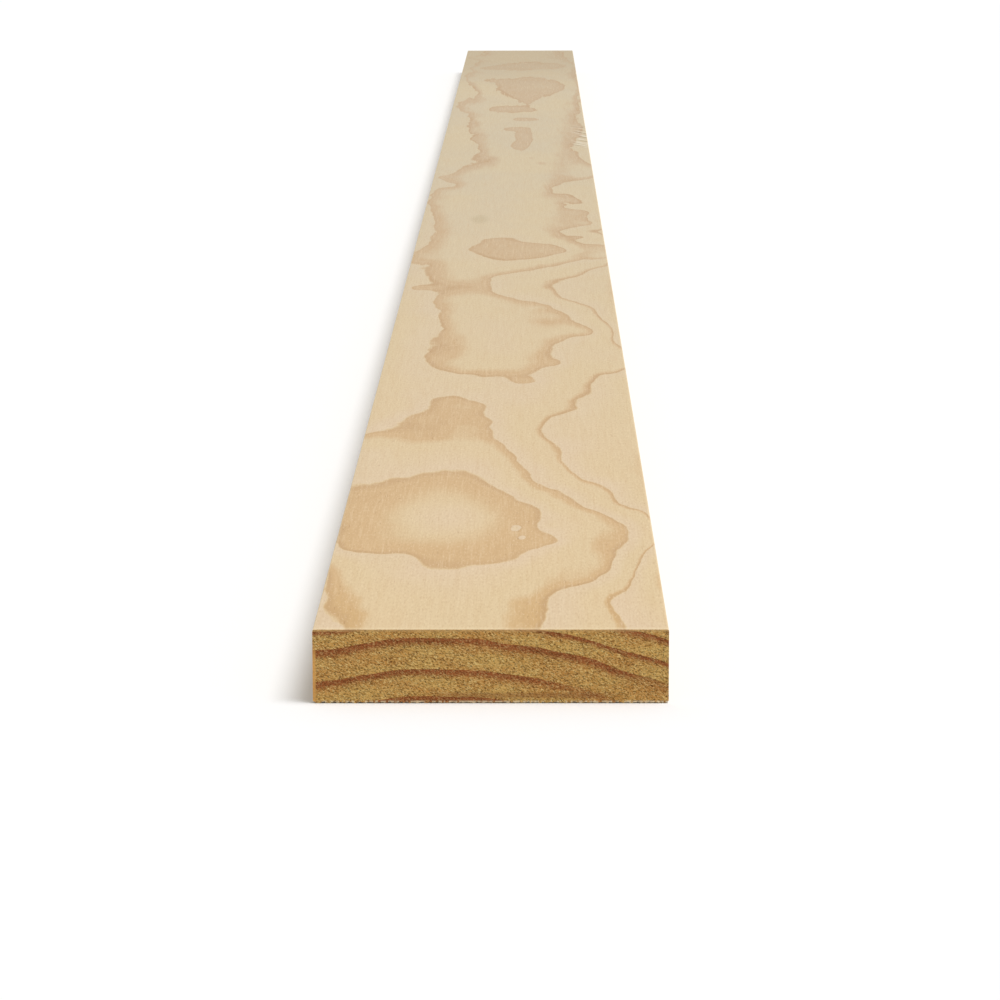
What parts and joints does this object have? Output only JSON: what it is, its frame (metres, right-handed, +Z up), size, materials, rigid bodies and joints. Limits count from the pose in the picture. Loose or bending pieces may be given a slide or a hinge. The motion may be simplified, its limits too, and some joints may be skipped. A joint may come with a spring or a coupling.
{
  "type": "timber plank",
  "caption": "Long flat pine plank, planed on its faces and edges with crisp arrises, sawn square at both ends; building and joinery stock to cut, nail or screw.",
  "frame": {"origin": "middle of the underside, on the floor that the plank lies on", "axes": "+Z up through the thickness, +Y along the grain and the length, +X across the width"},
  "size_m": [0.09, 2.4, 0.019],
  "materials": {
    "pine": "bare planed softwood with cream earlywood and tan latewood figure, darker reddish sawn end grain"
  },
  "bodies": {
    "root": {"plank": "pine"}
  },
  "joints": []
}
